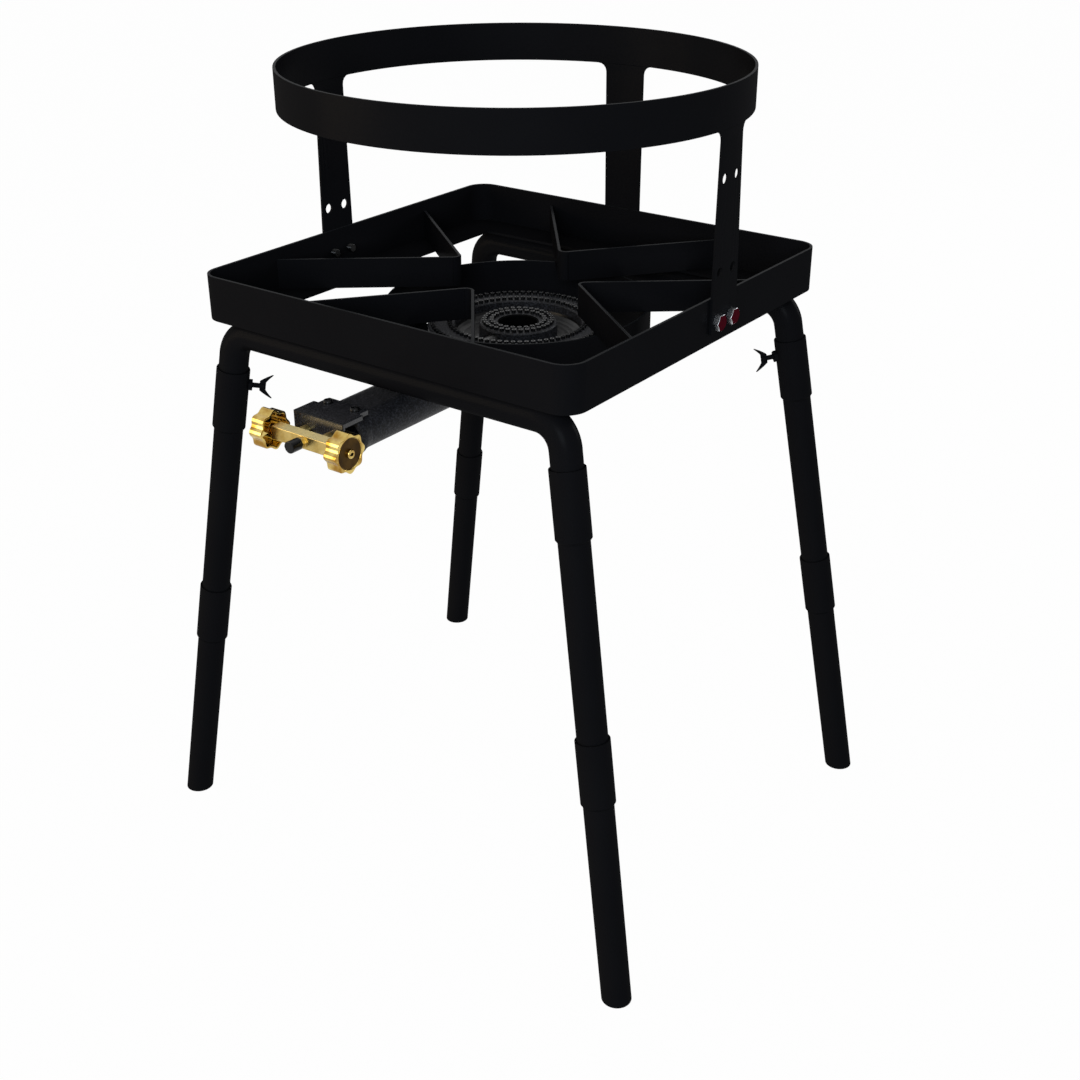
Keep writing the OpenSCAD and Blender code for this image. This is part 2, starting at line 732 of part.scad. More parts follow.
// Gas ways: right tube up into the outer channel, left tube under it and up into the inner channel
module gas_ways() {
  at_mixer() {
    translate([mixer_half, 0, 0]) mixer_bore(mixer_front - burner_r + mixer_bore_r);
    translate([-mixer_half, 0, 0]) mixer_bore(mixer_front - burner_r - mixer_bore_r);
  }
  translate([-mixer_half, feed_up_y, feed_z]) {
    rotate([90, 0, 0]) cylinder(r = feed_bore_r, h = burner_r + mixer_r + feed_up_y);
    cylinder(r = feed_bore_r, h = lid_z - channel_depth - feed_z + over);
  }
}

module burner_casting() color(iron_black) lift() difference() {
  union() {
    casting_body();
    ring_bridge();
    mixer_arm();
  }
  gas_channels();
  gas_ways();
  translate([-mixer_half - lip_r - over, -mixer_front - over, seat_z])
    cube([2 * (mixer_half + lip_r + over), mixer_front + over - cover_back + fixed_gap, lip_r]);
  for (s = [-1, 1]) {
    translate([s * cover_screw_half, -cover_screw_y, seat_z - cover_screw_reach])
      cylinder(d = cover_screw_d + 2 * fixed_gap, h = cover_screw_reach + over);
    translate([s * strap_bolt_half, 0, casting_z - over])
      cylinder(d = strap_bolt_d + 2 * fixed_gap, h = strap_bolt_reach + over);
  }
}

// Places of the ports, evenly spaced along each row
module at_ports(rows) {
  for (row_r = rows) {
    count = floor(2 * PI * row_r / port_pitch);
    for (i = [0 : count - 1]) rotate([0, 0, 180 * (2 * i + 1) / count]) translate([row_r, 0, 0]) children();
  }
}

// Flat ring with chamfered edges and two rows of ports in short raised nipples
module port_ring(r_in, r_out, rows) color(iron_black) lift() translate([0, 0, -burner_drop]) difference() {
  c = port_ring_chamfer;
  union() {
    rotate_extrude($fn = fine_fn) polygon([
      [r_in, -port_ring_h], [r_out, -port_ring_h], [r_out, -c], [r_out - c, 0], [r_in + c, 0], [r_in, -c]
    ]);
    at_ports(rows) translate([0, 0, -lap])
      cylinder(d1 = nipple_top_d + nipple_draft, d2 = nipple_top_d, h = nipple_h + lap, $fn = port_fn);
  }
  at_ports(rows) translate([0, 0, -port_ring_h - over])
    cylinder(d = port_d, h = port_ring_h + nipple_h + 2 * over, $fn = port_fn);
}
module outer_port_ring()
  port_ring(outer_in_r, burner_r, [outer_in_r + outer_row_inset, burner_r - outer_row_inset]);
module inner_port_ring()
  port_ring(hole_r, inner_r, [hole_r + hole_row_inset, inner_r - inner_row_inset]);

module burner_strap() color(black_coat) lift() difference() {
  translate([-shield_r, -strap_w / 2, strap_z]) cube([shield_d, strap_w, strap_t]);
  for (s = [-1, 1]) translate([s * strap_bolt_half, 0, strap_z - over])
    cylinder(d = strap_bolt_d + 2 * fixed_gap, h = strap_t + 2 * over);
}

module strap_bolts() color(zinc) lift() for (s = [-1, 1]) translate([s * strap_bolt_half, 0, strap_z]) {
  translate([0, 0, -bolt_head_h]) hex(bolt_head_w, bolt_head_h);
  cylinder(d = strap_bolt_d, h = strap_t + strap_bolt_reach - fixed_gap);
}

// Cast cover: flat top on the mixer tubes, front plate that carries the valve
module mouth_cover() color(iron_black) lift() difference() {
  union() {
    translate([-cover_w / 2, -cover_front, seat_z]) cube([cover_w, cover_front - cover_back - cover_tab, cover_t]);
    translate([-cover_tab_w / 2, -cover_front, seat_z]) cube([cover_tab_w, cover_front - cover_back, cover_t]);
    translate([-cover_w / 2, -cover_front, -mixer_drop - front_reach])
      cube([cover_w, front_t, cover_top + mixer_drop + front_reach]);
  }
  for (s = [-1, 1]) {
    translate([s * cover_screw_half, -cover_screw_y, seat_z - over])
      cylinder(d = cover_screw_d + 2 * fixed_gap, h = cover_t + 2 * over);
    translate([s * mixer_half, -cover_front - over, -valve_drop]) rotate([-90, 0, 0])
      cylinder(d = spigot_d + 2 * fixed_gap, h = front_t + 2 * over);
  }
}

module cover_screws() color(black_coat) lift() for (s = [-1, 1])
  translate([s * cover_screw_half, -cover_screw_y, cover_top]) {
    shank = cover_t + cover_screw_reach - fixed_gap;
    translate([0, 0, -shank]) cylinder(d = cover_screw_d, h = shank);
    cylinder(d1 = cover_screw_head_d, d2 = cover_screw_d, h = cover_screw_head_h);
  }

// Frame of the valve: origin in the middle of the bar, X along it
module at_valve() {
  lift() translate([0, -valve_y, -valve_drop]) children();
}
// Frame of one side of the valve: +Z out along the spindle
module at_side(side) {
  at_valve() rotate([0, side * 90, 0]) children();
}

module valve_bar() color(brass) at_valve() difference() {
  boss_end = valve_w / 2 + valve_gap;
  spigot_end = boss_end + front_t + spigot_reach - fixed_gap;
  union() {
    cube([valve_len, valve_w, valve_w], center = true);
    for (s = [-1, 1]) translate([s * mixer_half, 0, 0]) rotate([-90, 0, 0]) {
      cylinder(d = boss_d, h = boss_end);
      cylinder(d = spigot_d, h = spigot_end);
    }
    rotate([90, 0, 0]) {
      hex(inlet_w, nut_end);
      cylinder(d = nipple_d, h = nut_end + nipple_len);
    }
  }
  for (s = [-1, 1]) {
    rotate([0, s * 90, 0]) translate([0, 0, spindle_in])
      cylinder(d = spindle_d + 2 * turn_gap, h = valve_half);
    translate([s * mixer_half, 0, 0]) rotate([-90, 0, 0]) cylinder(d = gas_bore_d, h = spigot_end + over);
  }
  rotate([90, 0, 0]) cylinder(d = gas_bore_d, h = nut_end + nipple_len + over);
  rotate([0, 90, 0]) translate([0, 0, -spindle_in - over]) cylinder(d = gas_bore_d, h = 2 * (spindle_in + over));
}

module jet(side) color(brass) lift()
  translate([side * mixer_half, front_t - cover_front, -valve_drop]) rotate([-90, 0, 0]) difference() {
    union() {
      hex(jet_w, jet_hex_len);
      cylinder(d1 = jet_w, d2 = jet_tip_d, h = jet_len);
    }
    translate([0, 0, -over]) cylinder(d = spigot_d + 2 * fixed_gap, h = spigot_reach + over);
    cylinder(d = jet_bore_d, h = jet_len + over);
  }
module jet_left() jet(-1);
module jet_right() jet(1);

module gland_nut(side) color(brass) at_side(side) translate([0, 0, valve_half]) difference() {
  hex(gland_w, gland_h);
  translate([0, 0, -over]) cylinder(d = spindle_d + 2 * turn_gap, h = gland_h + 2 * over);
}
module gland_nut_left() gland_nut(-1);
module gland_nut_right() gland_nut(1);

// Needle in the bar, screw hole for the knob at the outer end
module spindle(side) color(brass) at_side(side) difference() {
  needle = spindle_in + seat_gap;
  union() {
    translate([0, 0, needle]) cylinder(d1 = jet_bore_d, d2 = spindle_d, h = spindle_d);
    translate([0, 0, needle + spindle_d]) cylinder(d = spindle_d, h = spindle_end - needle - spindle_d);
  }
  translate([0, 0, spindle_end - knob_screw_reach])
    cylinder(d = knob_screw_d + 2 * fixed_gap, h = knob_screw_reach + over);
}
module spindle_left() spindle(-1);
module spindle_right() spindle(1);

// Lobed outline: full radius on the lobes, drawn in between them
module lobed(r) {
  n = knob_lobes * lobe_points;
  polygon([for (i = [0 : n - 1]) let (a = 360 * i / n, q = r - lobe_depth * (1 - cos(knob_lobes * a)) / 2)
    [q * cos(a), q * sin(a)]]);
}

// Hollow lobed cup that opens towards the bar, with a hub on the spindle
module knob(side) color(brass) at_side(side) difference() {
  hub_start = valve_half + gland_h + knob_gap;
  union() {
    difference() {
      translate([0, 0, knob_start]) linear_extrude(knob_depth) lobed(knob_r);
      translate([0, 0, knob_start - over])
        linear_extrude(knob_depth - knob_disc_t + over) lobed(knob_r - knob_wall);
    }
    translate([0, 0, hub_start]) cylinder(r = spindle_d / 2 + knob_wall, h = spindle_end - hub_start + over);
  }
  translate([0, 0, knob_face]) cylinder(d = knob_recess_d, h = knob_recess_h + over);
  translate([0, 0, hub_start - over])
    cylinder(d = spindle_d + 2 * fixed_gap, h = spindle_end - hub_start + over + fixed_gap);
  translate([0, 0, hub_start]) cylinder(d = knob_screw_d + 2 * fixed_gap, h = knob_depth);
}
module knob_left() knob(-1);
module knob_right() knob(1);

module knob_screw(side) color(brass) at_side(side) {
  shank = knob_face - spindle_end + knob_screw_reach - fixed_gap;
  translate([0, 0, knob_face - shank]) cylinder(d = knob_screw_d, h = shank);
  translate([0, 0, knob_face]) cylinder(d1 = knob_screw_head_d, d2 = knob_screw_d, h = knob_screw_head_h);
}
module knob_screw_left() knob_screw(-1);
module knob_screw_right() knob_screw(1);

module inlet_cap() color(black_plastic) at_valve() rotate([90, 0, 0])
  translate([0, 0, nut_end + cap_gap]) difference() {
    cylinder(d = nipple_d + 2 * (cap_gap + cap_wall), h = nipple_len + cap_wall);
    translate([0, 0, -over]) cylinder(d = nipple_d + 2 * cap_gap, h = nipple_len + over);
  }

tray_frame();
support_front();
support_right();
support_back();
support_left();
wind_shield();
wok_ring();
ring_bolts();
leg_frame_front();
leg_frame_back();
burner_casting();
outer_port_ring();
inner_port_ring();
burner_strap();
strap_bolts();
mouth_cover();
cover_screws();
valve_bar();
jet_left();
jet_right();
gland_nut_left();
gland_nut_right();
spindle_left();
spindle_right();
knob_left();
knob_right();
knob_screw_left();
knob_screw_right();
inlet_cap();
upper_leg_fl();
upper_leg_fr();
upper_leg_br();
upper_leg_bl();
lower_leg_fl();
lower_leg_fr();
lower_leg_br();
lower_leg_bl();
clamp_nut_fl();
clamp_nut_fr();
clamp_nut_br();
clamp_nut_bl();
wing_bolt_fl();
wing_bolt_fr();
wing_bolt_br();
wing_bolt_bl();
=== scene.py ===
import json
import math

import bpy
from mathutils import Matrix, Vector


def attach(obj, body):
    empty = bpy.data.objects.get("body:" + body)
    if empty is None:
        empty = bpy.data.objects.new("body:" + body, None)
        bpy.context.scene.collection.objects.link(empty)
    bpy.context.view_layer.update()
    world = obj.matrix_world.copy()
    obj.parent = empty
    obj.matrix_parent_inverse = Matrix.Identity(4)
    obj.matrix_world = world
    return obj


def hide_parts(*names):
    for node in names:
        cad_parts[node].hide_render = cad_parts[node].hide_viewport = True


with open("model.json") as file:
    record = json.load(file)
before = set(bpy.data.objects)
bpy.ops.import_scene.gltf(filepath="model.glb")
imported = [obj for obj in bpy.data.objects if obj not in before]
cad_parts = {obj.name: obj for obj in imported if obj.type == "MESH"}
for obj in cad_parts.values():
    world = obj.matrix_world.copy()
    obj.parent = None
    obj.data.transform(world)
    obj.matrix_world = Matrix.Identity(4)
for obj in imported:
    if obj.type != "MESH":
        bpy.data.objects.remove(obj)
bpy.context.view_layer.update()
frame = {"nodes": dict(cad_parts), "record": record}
bpy.ops.object.select_all(action="DESELECT")
bpy.context.scene.view_settings.view_transform = "Standard"
print("frame loaded:", len(frame["nodes"]), "nodes")

# the tray's rim and middle in the part's frame, in millimetres: places below count from there
rim = {"y": 34.525, "z": 566.02}


def place(x, y, z):
    return Vector((x, y + rim["y"], z + rim["z"])) / 1000


# camera at the photograph's view, from the tray's middle at rim height
shot = {
    "at": (796.9, -1055.3, 396.1), "azimuth": 36.211, "elevation": 27.262, "roll": -0.13,
    "sensor": 36, "lens": 50.26, "farthest": 100,
}


def addCamera():
    az, el, roll = (math.radians(shot[k]) for k in ("azimuth", "elevation", "roll"))
    back = Vector((math.sin(az) * math.cos(el), -math.cos(az) * math.cos(el), math.sin(el)))
    right = Vector((math.cos(az), math.sin(az), 0))
    up = back.cross(right)
    tiltRight = right * math.cos(roll) + up * math.sin(roll)
    tiltUp = up * math.cos(roll) - right * math.sin(roll)
    bpy.ops.object.camera_add()
    camera = bpy.context.object
    camera.name = "photoCamera"
    turn = Matrix((tiltRight, tiltUp, back)).transposed().to_4x4()
    camera.matrix_world = Matrix.Translation(place(*shot["at"])) @ turn
    camera.data.sensor_width = shot["sensor"]
    camera.data.lens = shot["lens"]
    camera.data.clip_end = shot["farthest"]
    bpy.context.scene.camera = camera


addCamera()
print("camera set")


def linear(hexValue):
    parts = [int(hexValue[i:i + 2], 16) / 255 for i in (1, 3, 5)]
    return [c / 12.92 if c <= 0.04045 else ((c + 0.055) / 1.055) ** 2.4 for c in parts] + [1]


# adds one shader node: settings are its own options, sockets are values or outputs to link
def addNode(tree, kind, sockets, **settings):
    node = tree.nodes.new("ShaderNode" + kind)
    for key, value in settings.items():
        setattr(node, key, value)
    for key, value in sockets.items():
        if isinstance(value, bpy.types.NodeSocket):
            tree.links.new(value, node.inputs[key])
        else:
            node.inputs[key].default_value = value
    return node


def newMaterial(name, **values):
    material = bpy.data.materials.new(name)
    material.use_nodes = True
    tree = material.node_tree
    shader = tree.nodes["Principled BSDF"]
    for key, value in values.items():
        shader.inputs[key.replace("_", " ")].default_value = value
    spot = addNode(tree, "TexCoord", {}).outputs["Object"]
    return material, tree, shader, spot


# links outputs to a shader's inputs, whose names have underscores for spaces here
def plug(tree, shader, **outputs):
    for key, output in outputs.items():
        tree.links.new(output, shader.inputs[key.replace("_", " ")])


# satin polyester powder coat: deep black with a fine orange peel; a paler, glossier call of it is put on
# edges and upper rims as a painted highlight
def makePowderCoat(name, deep, pale, sheen):
    peelMm = 3.2  # real peel is 1 to 2 mm, drawn coarser so that it shows
    cloudMm = 70
    material, tree, shader, spot = newMaterial(name, Specular_IOR_Level=0.0, Coat_Weight=sheen)
    cloud = addNode(tree, "TexNoise", {"Vector": spot, "Scale": 1000 / cloudMm, "Detail": 3.0})
    tone = addNode(tree, "Mix", {0: cloud.outputs["Fac"], 6: linear(deep), 7: linear(pale)}, data_type="RGBA")
    peel = addNode(
        tree, "TexNoise", {"Vector": spot, "Scale": 1000 / peelMm, "Detail": 2.0, "Roughness": 0.4})
    rough = addNode(tree, "MapRange", {"Value": cloud.outputs["Fac"], "To Min": 0.22, "To Max": 0.34})
    bump = addNode(tree, "Bump", {"Height": peel.outputs["Fac"], "Strength": 0.1, "Distance": 0.0006})
    plug(tree, shader, Base_Color=tone.outputs[2], Coat_Roughness=rough.outputs["Result"],
         Coat_Normal=bump.outputs["Normal"])
    return material


# grey cast iron: gritty skin under stove black, smooth where it is turned, sooty on the ports; painted
# near-black in the middle hole as the shade deep inside it; with little grain it is black oxide steel
def makeIron(name, deep, pale, shine, rough, grain):
    gritMm = 1.6
    pitMm = 4.5
    cloudMm = 30
    material, tree, shader, spot = newMaterial(name, IOR=1.5, Specular_IOR_Level=shine)
    grit = addNode(
        tree, "TexNoise", {"Vector": spot, "Scale": 1000 / gritMm, "Detail": 3.0, "Roughness": 0.65})
    pits = addNode(tree, "TexVoronoi", {"Vector": spot, "Scale": 1000 / pitMm})
    cloud = addNode(tree, "TexNoise", {"Vector": spot, "Scale": 1000 / cloudMm, "Detail": 2.0})
    sharp = addNode(tree, "MapRange", {"Value": grit.outputs["Fac"], "From Min": 0.45, "From Max": 0.7})
    tone = addNode(
        tree, "Mix", {0: sharp.outputs["Result"], 6: linear(deep), 7: linear(pale)}, data_type="RGBA")
    spread = 0.08  # of the roughness, either way
    gloss = addNode(
        tree, "MapRange", {"Value": cloud.outputs["Fac"], "To Min": rough - spread, "To Max": rough + spread})
    pitDepth = 0.25  # beside the grit
    height = addNode(
        tree, "Math", {0: pits.outputs["Distance"], 1: pitDepth, 2: grit.outputs["Fac"]},
        operation="MULTIPLY_ADD")
    bump = addNode(tree, "Bump", {"Height": height.outputs["Value"], "Strength": grain, "Distance": 0.0008})
    plug(tree, shader, Base_Color=tone.outputs[2], Roughness=gloss.outputs["Result"],
         Normal=bump.outputs["Normal"])
    return material


# black stove enamel on the mouth cover: glossy over fine grey flecks, it mirrors the brass bar before it
def makeEnamel():
    peelMm = 1.3
    cloudMm = 25
    material, tree, shader, spot = newMaterial("stoveEnamelBlack", IOR=1.5, Specular_IOR_Level=0.5)
    cloud = addNode(tree, "TexNoise", {"Vector": spot, "Scale": 1000 / cloudMm, "Detail": 3.0})
    peel = addNode(tree, "TexNoise", {"Vector": spot, "Scale": 1000 / peelMm, "Detail": 2.0})
    fleck = addNode(tree, "MapRange", {"Value": peel.outputs["Fac"], "From Min": 0.5, "From Max": 0.72})
    shade = fleck.outputs["Result"]
    tone = addNode(tree, "Mix", {0: shade, 6: linear("#1B1B1E"), 7: linear("#3C3C41")}, data_type="RGBA")
    rough = addNode(tree, "MapRange", {"Value": cloud.outputs["Fac"], "To Min": 0.22, "To Max": 0.3})
    bump = addNode(tree, "Bump", {"Height": peel.outputs["Fac"], "Strength": 0.05, "Distance": 0.0005})
    plug(tree, shader, Base_Color=tone.outputs[2], Roughness=rough.outputs["Result"],
         Normal=bump.outputs["Normal"])
    return material


# brass: warm gold, polished on the knobs with browner clouds of tarnish, dull on the drawn bar; its paler
# tone on the bar's top is a painted highlight, its dark brown on the knobs' sunk discs a painted reflection
def makeBrass(name, pale, deep, rough):
    cloudMm = 11
    scuffMm = 2.2
    material, tree, shader, spot = newMaterial(name, Metallic=1.0)
    cloud = addNode(tree, "TexNoise", {"Vector": spot, "Scale": 1000 / cloudMm, "Detail": 3.0})
    scuff = addNode(tree, "TexNoise", {"Vector": spot, "Scale": 1000 / scuffMm, "Detail": 2.0})
    bloom = addNode(tree, "MapRange", {"Value": cloud.outputs["Fac"], "From Min": 0.34, "From Max": 0.62})
    tone = addNode(
        tree, "Mix", {0: bloom.outputs["Result"], 6: linear(deep), 7: linear(pale)}, data_type="RGBA")
    gloss = addNode(
        tree, "MapRange", {"Value": cloud.outputs["Fac"], "To Min": rough * 1.3, "To Max": rough * 0.7})
    bump = addNode(tree, "Bump", {"Height": scuff.outputs["Fac"], "Strength": 0.05, "Distance": 0.0003})
    plug(tree, shader, Base_Color=tone.outputs[2], Roughness=gloss.outputs["Result"],
         Normal=bump.outputs["Normal"])
    return material


# bright zinc-plated steel: cool silver, with a soft spangle in its tone and gloss
def makeZinc():
    spangleMm = 7
    material, tree, shader, spot = newMaterial("zincPlatedSteel", Metallic=1.0)
    spangle = addNode(tree, "TexVoronoi", {"Vector": spot, "Scale": 1000 / spangleMm})
    shade = spangle.outputs["Distance"]
    tone = addNode(tree, "Mix", {0: shade, 6: linear("#B4B8BD"), 7: linear("#D0D3D6")}, data_type="RGBA")
    rough = addNode(tree, "MapRange", {"Value": shade, "To Min": 0.22, "To Max": 0.3})
    plug(tree, shader, Base_Color=tone.outputs[2], Roughness=rough.outputs["Result"])
    return material


# red thread-lock lacquer on the bolt heads: dark crimson under a thin clear film
def makeLacquer():
    cloudMm = 3
    material, tree, shader, spot = newMaterial(
        "crimsonLacquer", Specular_IOR_Level=0.0, Coat_Weight=0.02, Coat_Roughness=0.1)
    cloud = addNode(tree, "TexNoise", {"Vector": spot, "Scale": 1000 / cloudMm, "Detail": 2.0})
    shade = cloud.outputs["Fac"]
    tone = addNode(tree, "Mix", {0: shade, 6: linear("#3E0410"), 7: linear("#540718")}, data_type="RGBA")
    rough = addNode(tree, "MapRange", {"Value": shade, "To Min": 0.3, "To Max": 0.45})
    plug(tree, shader, Base_Color=tone.outputs[2], Roughness=rough.outputs["Result"])
    return material


# moulded polyethylene: black with a soft gloss, and the fine skin of an unpolished mould
def makePlastic():
    skinMm = 0.9
    material, tree, shader, spot = newMaterial("polyethyleneBlack", IOR=1.5, Specular_IOR_Level=0.14)
    skin = addNode(tree, "TexNoise", {"Vector": spot, "Scale": 1000 / skinMm, "Detail": 2.0})
    shade = skin.outputs["Fac"]
    tone = addNode(tree, "Mix", {0: shade, 6: linear("#070708"), 7: linear("#0D0D0E")}, data_type="RGBA")
    rough = addNode(tree, "MapRange", {"Value": shade, "To Min": 0.2, "To Max": 0.28})
    bump = addNode(tree, "Bump", {"Height": shade, "Strength": 0.06, "Distance": 0.0003})
    plug(tree, shader, Base_Color=tone.outputs[2], Roughness=rough.outputs["Result"],
         Normal=bump.outputs["Normal"])
    return material


powderCoat = makePowderCoat("powderCoatBlack", deep="#0F0F11", pale="#131315", sheen=0.022)
# paler coat: a painted highlight on edges and upper rims
paintedHighlightCoat = makePowderCoat("powderCoatPaintedHighlight", deep="#18191B", pale="#232427", sheen=0.14)
castIron = makeIron("castIronStoveBlack", deep="#0D0D0F", pale="#3A3B40", shine=0.16, rough=0.52, grain=0.6)
turnedIron = makeIron("castIronTurned", deep="#0A0A0B", pale="#101011", shine=0.22, rough=0.3, grain=0.05)
sootyIron = makeIron("castIronSooty", deep="#060607", pale="#0E0E10", shine=0.35, rough=0.3, grain=0.1)
# near-black iron for the middle hole: painted shade of its depth
holeShadeIron = makeIron("castIronPaintedHoleShade", deep="#030303", pale="#060607", shine=0.02, rough=0.6, grain=0.1)
blackSteel = makeIron("blackOxideSteel", deep="#060607", pale="#0B0B0C", shine=0.14, rough=0.25, grain=0.04)
enamel = makeEnamel()
brass = makeBrass("polishedBrass", pale="#D3BB70", deep="#9C742C", rough=0.07)
drawnBrass = makeBrass("drawnBrass", pale="#C2AC6E", deep="#A88F50", rough=0.3)
# paler brass for the bar's upper face: a painted highlight of the light from above
topHighlightBrass = makeBrass("topHighlightBrass", pale="#F7E6AC", deep="#ECD898", rough=0.4)
# dark brown brass for the knobs' sunk discs: a painted dark reflection
darkReflectionBrass = makeBrass("brassPaintedDarkReflection", pale="#4C3714", deep="#38280E", rough=0.36)
zinc = makeZinc()
lacquer = makeLacquer()
plastic = makePlastic()
finish = {
    "black_coat": powderCoat, "cast_iron": castIron, "brass": brass,
    "zinc_steel": zinc, "black_plastic": plastic,
}
print("materials made:", len(bpy.data.materials))


def dress(piece, *materials):
    piece.data.materials.clear()
    for material in materials:
        piece.data.materials.append(material)


slotOf = {s["node"]: s["material_slot"] for s in frame["record"]["subparts"]}
for nodeName, node in frame["nodes"].items():
    dress(node, finish[slotOf[nodeName]])

weldGap = 0.000005  # points this close are merged, in metres
sameSpot = 0.00002  # heights and radii this close count as the same, in metres
facing = 0.9  # a face looks along an axis when its normal has this share of it


def bodyOf(nodeName):
    return next(b for b, nodes in frame["record"]["behaviour"]["bodies"].items() if nodeName in nodes)


def standFor(piece, nodeName):
    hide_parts(nodeName)
    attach(piece, bodyOf(nodeName))


def onlyThis(piece):
    if bpy.context.mode != "OBJECT":
        bpy.ops.object.mode_set(mode="OBJECT")
    bpy.ops.object.select_all(action="DESELECT")
    piece.select_set(True)
    bpy.context.view_layer.objects.active = piece


# smooth shading up to an angle, with the large flat faces kept flat up to their rounded edges
def smoothShade(piece, angle):
    bpy.ops.object.shade_smooth_by_angle(angle=math.radians(angle))
    weigh = piece.modifiers.new("weigh", "WEIGHTED_NORMAL")
    weigh.keep_sharp = True
    bpy.ops.object.modifier_apply(modifier="weigh")


# selects vertices, edges or faces of a piece by a test, and leaves it in edit mode
def pick(piece, kind, test):
    onlyThis(piece)
    bpy.ops.object.mode_set(mode="EDIT")
    bpy.ops.mesh.select_mode(type=kind)
    bpy.ops.mesh.select_all(action="DESELECT")
    bpy.ops.object.mode_set(mode="OBJECT")
    group = {"VERT": piece.data.vertices, "EDGE": piece.data.edges, "FACE": piece.data.polygons}[kind]
    for item in group:
        item.select = test(item)
    bpy.ops.object.mode_set(mode="EDIT")


# edges where two faces meet at more than an angle, and that are longer than the steps of a small hole's rim
def sharpEdges(piece, angle, longFrom):
    sides = {}
    for face in piece.data.polygons:
        for key in face.edge_keys:
            sides.setdefault(key, []).append(face.normal.copy())
    spots = [v.co for v in piece.data.vertices]
    limit = math.cos(math.radians(angle))
    return {
        key for key, normals in sides.items() if len(normals) == 2
        and normals[0].dot(normals[1]) < limit and (spots[key[0]] - spots[key[1]]).length > longFrom / 1000
    }


walls = ("front", "right", "back", "left")
corners = {"fl": (-1, -1), "fr": (1, -1), "br": (1, 1), "bl": (-1, 1)}

# folded and cut edges: how they are rounded, and the upper rims, which take the paler coat as a painted
# highlight of the light from above
soft = {
    "sharpFrom": 38, "segments": 2, "smoothTo": 30, "rimDepth": 1, "rimFacing": 0.5,
    "rims": ["tray_frame", "wok_ring", "wind_shield"] + ["support_" + wall for wall in walls],
}


# a merged copy of a node with its sharp edges rounded, so that they catch a line of light; when asked, the
# rounded faces also take the paler coat as a painted highlight
def softCopy(nodeName, width, longFrom=0.0, shiny=False):
    piece = bpy.data.objects.new(nodeName + "Soft", frame["nodes"][nodeName].data.copy())
    bpy.context.scene.collection.objects.link(piece)
    dress(piece, finish[slotOf[nodeName]], paintedHighlightCoat)
    pick(piece, "FACE", lambda f: True)
    bpy.ops.mesh.remove_doubles(threshold=weldGap)
    bpy.ops.mesh.customdata_custom_splitnormals_clear()
    bpy.ops.object.mode_set(mode="OBJECT")
    sharp = sharpEdges(piece, soft["sharpFrom"], longFrom)
    pick(piece, "EDGE", lambda e: e.key in sharp)
    bpy.ops.mesh.bevel(
        offset=width / 1000, segments=soft["segments"], material=1 if shiny else -1,
        clamp_overlap=longFrom > 0)
    bpy.ops.object.mode_set(mode="OBJECT")
    smoothShade(piece, soft["smoothTo"])
    # upward faces along the top take the paler coat: a painted highlight of the light from above
    if nodeName in soft["rims"]:
        rimFrom = max(v.co.z for v in piece.data.vertices) - soft["rimDepth"] / 1000
        for face in piece.data.polygons:
            if face.normal.z > soft["rimFacing"] and face.center.z > rimFrom:
                face.material_index = 1
    standFor(piece, nodeName)
    return piece


# width of the rounded edge of each piece
edges = {
    "wind_shield": 0.4, "burner_strap": 0.5, "valve_bar": 0.5,
    "gland_nut_left": 0.3, "gland_nut_right": 0.3, "inlet_cap": 0.6,
}
edges.update({"support_" + wall: 0.5 for wall in walls})
for corner in corners:
    edges.update({"upper_leg_" + corner: 0.4, "lower_leg_" + corner: 0.4, "clamp_nut_" + corner: 0.3})
for nodeName, width in edges.items():
    softCopy(nodeName, width)

# valve bar: its upper face takes a paler brass as a painted highlight, the others keep the drawn skin
valveBar = {"highlightFacing": 0.95, "highlightArea": 0.00001}
bar = bpy.data.objects["valve_barSoft"]
dress(bar, drawnBrass, topHighlightBrass)
for face in bar.data.polygons:
    topHighlight = face.normal.z > valveBar["highlightFacing"] and face.area > valveBar["highlightArea"]
    face.material_index = 1 if topHighlight else 0

# pieces with small holes, whose rims stay sharp: width of the edge, and from what length it is rounded
holed = {"tray_frame": (0.6, 1.4), "wok_ring": (0.6, 1.4)}
for nodeName, (width, longFrom) in holed.items():
    softCopy(nodeName, width, longFrom)
cover = {"edge": 1.1, "longFrom": 2.5}
# the cover's rounded edges take the paler coat as a painted highlight
softCopy("mouth_cover", cover["edge"], cover["longFrom"], shiny=True).data.materials[0] = enamel
print("edges rounded:", len(edges) + len(holed), "pieces and the mouth cover")


# burner: sooty nipples stand on gritty rings, the dish between the rings is turned smooth, and the middle
# hole is painted black as the shade deep inside it
burner = {"sootDown": 2.7, "dish": 78, "dishFacing": 0.3, "hole": 19}


def finishBurner():
    middle = place(0, 0, 0)
    for nodeName in ("outer_port_ring", "inner_port_ring"):
        node = frame["nodes"][nodeName]
        dress(node, castIron, sootyIron, holeShadeIron)
        foot = max(v.co.z for v in node.data.vertices) - burner["sootDown"] / 1000
        for face in node.data.polygons:
            away = (face.center - middle).xy.length * 1000
            face.material_index = 1 if face.center.z > foot else 0
            # the middle hole's walls take the near-black iron: painted shade
            if away < burner["hole"] and face.center.z < foot:
                face.material_index = 2
    node = frame["nodes"]["burner_casting"]
    dress(node, castIron, turnedIron, holeShadeIron)
    for face in node.data.polygons:
        away = (face.center - middle).xy.length * 1000
        face.material_index = 1 if away < burner["dish"] and face.normal.z > burner["dishFacing"] else 0
        # the middle hole's walls take the near-black iron: painted shade
        if away < burner["hole"] and face.normal.z < facing:
            face.material_index = 2


finishBurner()
print("burner finished")


